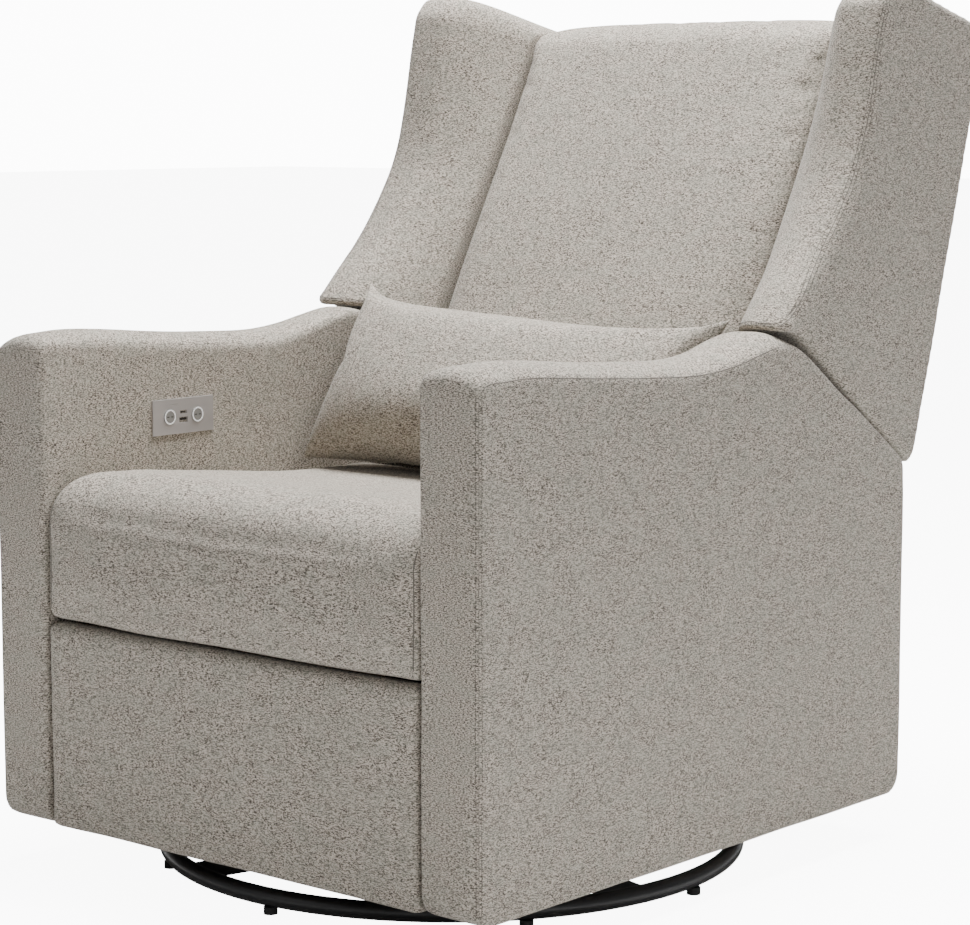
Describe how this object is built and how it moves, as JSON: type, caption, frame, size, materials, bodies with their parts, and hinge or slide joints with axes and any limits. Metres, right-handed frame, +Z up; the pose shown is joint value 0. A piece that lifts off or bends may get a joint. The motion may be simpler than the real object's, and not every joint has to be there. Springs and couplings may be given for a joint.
{
  "type": "swivel glider recliner chair",
  "caption": "Upholstered wing-back nursery chair that swivels, glides, reclines and raises a leg rest, with a loose lumbar pillow and a control plate in one arm.",
  "frame": {"origin": "middle of the chair's footprint box, on the floor", "axes": "+Z up, the chair faces -Y, +X is the arm without the control plate; the swivel axis is 99.5 mm in front of the origin"},
  "size_m": [0.75, 0.971, 1.043],
  "materials": {
    "upholstery_fabric": "heathered woven",
    "black_steel": "satin powder coat",
    "mechanism_steel": "dark pressed steel",
    "zinc_steel": "zinc plated",
    "frame_timber": "raw birch ply",
    "foot_rubber": "matte",
    "brushed_plate": "fine horizontal brushing",
    "button_metal": "satin with a white ring",
    "black_plastic": "fine texture"
  },
  "bodies": {
    "base": {"base_ring": "black_steel", "base_feet": "foot_rubber", "base_spider": "black_steel", "lower_race": "black_steel", "race_balls": "zinc_steel", "centre_bolt": "zinc_steel"},
    "turntable": {"turntable_plate": "black_steel", "glide_frame_left": "black_steel", "glide_frame_right": "black_steel", "glide_bolts_upper": "zinc_steel"},
    "front_swing": {"swing_link_front_left": "black_steel", "swing_link_front_right": "black_steel"},
    "rear_swing": {"swing_link_rear_left": "black_steel", "swing_link_rear_right": "black_steel"},
    "chair_body": {"glide_bolts_lower": "zinc_steel", "chassis_frame": "black_steel", "side_plate_left": "mechanism_steel", "side_plate_right": "mechanism_steel", "legrest_bolts": "zinc_steel", "back_bolts": "zinc_steel", "seat_front_rail": "frame_timber", "seat_deck": "frame_timber", "seat_cushion": "upholstery_fabric", "arm_frame_left": "frame_timber", "arm_frame_right": "frame_timber", "arm_cover_left": "upholstery_fabric", "arm_cover_right": "upholstery_fabric", "rear_panel": "upholstery_fabric", "control_plate": "brushed_plate", "control_module": "black_plastic", "power_inlet": "black_plastic", "actuator_housing": "black_plastic", "actuator_bracket": "mechanism_steel"},
    "drive_shaft": {"torque_tube": "mechanism_steel", "legrest_rear_link_left": "mechanism_steel", "legrest_rear_link_right": "mechanism_steel", "rear_link_rivets": "zinc_steel"},
    "front_links": {"legrest_front_link_left": "mechanism_steel", "legrest_front_link_right": "mechanism_steel"},
    "carry_links": {"legrest_carry_link_left": "mechanism_steel", "legrest_carry_link_right": "mechanism_steel", "carry_link_rivets": "zinc_steel"},
    "tilt_links": {"legrest_tilt_link_left": "mechanism_steel", "legrest_tilt_link_right": "mechanism_steel"},
    "footrest": {"legrest_bracket_left": "mechanism_steel", "legrest_bracket_right": "mechanism_steel", "bracket_rivets": "zinc_steel", "legrest_board": "frame_timber", "legrest_pad": "upholstery_fabric"},
    "drive_rod": {"actuator_rod": "zinc_steel"},
    "backrest": {"back_frame": "frame_timber", "back_bracket_left": "mechanism_steel", "back_bracket_right": "mechanism_steel", "back_cushion": "upholstery_fabric", "wing_left": "upholstery_fabric", "wing_right": "upholstery_fabric", "outer_back": "upholstery_fabric"},
    "pillow": {"lumbar_pillow": "upholstery_fabric"},
    "open_button": {"button_open": "button_metal"},
    "close_button": {"button_close": "button_metal"}
  },
  "joints": [
    {"name": "swivel", "type": "hinge", "parent": "base", "child": "turntable", "pos_m": [0, -0.0995, 0.04], "axis": [0, 0, 1], "continuous": true},
    {"name": "glide", "type": "hinge", "parent": "turntable", "child": "front_swing", "pos_m": [0, -0.2495, 0.232], "axis": [1, 0, 0], "range_deg": [-26, 26]},
    {"name": "glide_rear_links", "type": "hinge", "parent": "turntable", "child": "rear_swing", "pos_m": [0, 0.0505, 0.232], "axis": [1, 0, 0], "range_deg": [-26, 26]},
    {"name": "glide_body_level", "type": "hinge", "parent": "front_swing", "child": "chair_body", "pos_m": [0, -0.2495, 0.122], "axis": [1, 0, 0], "range_deg": [-26, 26]},
    {"name": "legrest", "type": "hinge", "parent": "chair_body", "child": "drive_shaft", "pos_m": [0, -0.3, 0.262], "axis": [-1, 0, 0], "range_deg": [0, 115]},
    {"name": "legrest_front_links", "type": "hinge", "parent": "chair_body", "child": "front_links", "pos_m": [0, -0.3461, 0.28136], "axis": [-1, 0, 0], "range_deg": [0, 115]},
    {"name": "legrest_carry", "type": "hinge", "parent": "drive_shaft", "child": "carry_links", "pos_m": [0, -0.2108, 0.09424], "axis": [-1, 0, 0], "range_deg": [-115, 0]},
    {"name": "legrest_tilt", "type": "hinge", "parent": "drive_shaft", "child": "tilt_links", "pos_m": [0, -0.22254, 0.11631], "axis": [-1, 0, 0], "range_deg": [-116, 0]},
    {"name": "legrest_board_turn", "type": "hinge", "parent": "carry_links", "child": "footrest", "pos_m": [0, -0.427, 0.18504], "axis": [-1, 0, 0], "range_deg": [0, 80.5]},
    {"name": "actuator_stroke", "type": "slide", "parent": "chair_body", "child": "drive_rod", "axis": [0, -1, 0], "range_m": [0, 0.0932]},
    {"name": "recline", "type": "hinge", "parent": "chair_body", "child": "backrest", "pos_m": [0, 0.2305, 0.285], "axis": [-1, 0, 0], "range_deg": [0, 30.5]},
    {"name": "pillow_lean", "type": "hinge", "parent": "chair_body", "child": "pillow", "pos_m": [0, 0.0125, 0.4492], "axis": [-1, 0, 0], "range_deg": [0, 30.5]},
    {"name": "open_button_press", "type": "slide", "parent": "chair_body", "child": "open_button", "axis": [-1, 0, 0], "range_m": [0, 0.001], "stiffness_N_per_m": 600},
    {"name": "close_button_press", "type": "slide", "parent": "chair_body", "child": "close_button", "axis": [-1, 0, 0], "range_m": [0, 0.001], "stiffness_N_per_m": 600}
  ],
  "couplings": [
    {"joint": "glide_rear_links", "follows": "glide", "ratio": 1},
    {"joint": "glide_body_level", "follows": "glide", "ratio": -1},
    {"joint": "legrest_front_links", "follows": "legrest", "ratio": 1},
    {"joint": "legrest_carry", "follows": "legrest", "ratio": -1},
    {"joint": "legrest_tilt", "follows": "legrest", "ratio": -1.0031},
    {"joint": "legrest_board_turn", "follows": "legrest", "ratio": 0.69565},
    {"joint": "actuator_stroke", "follows": "legrest", "m_per_rad": 0.046178},
    {"joint": "recline", "follows": "legrest", "ratio": 0.26087},
    {"joint": "pillow_lean", "follows": "legrest", "ratio": 0.26087}
  ]
}
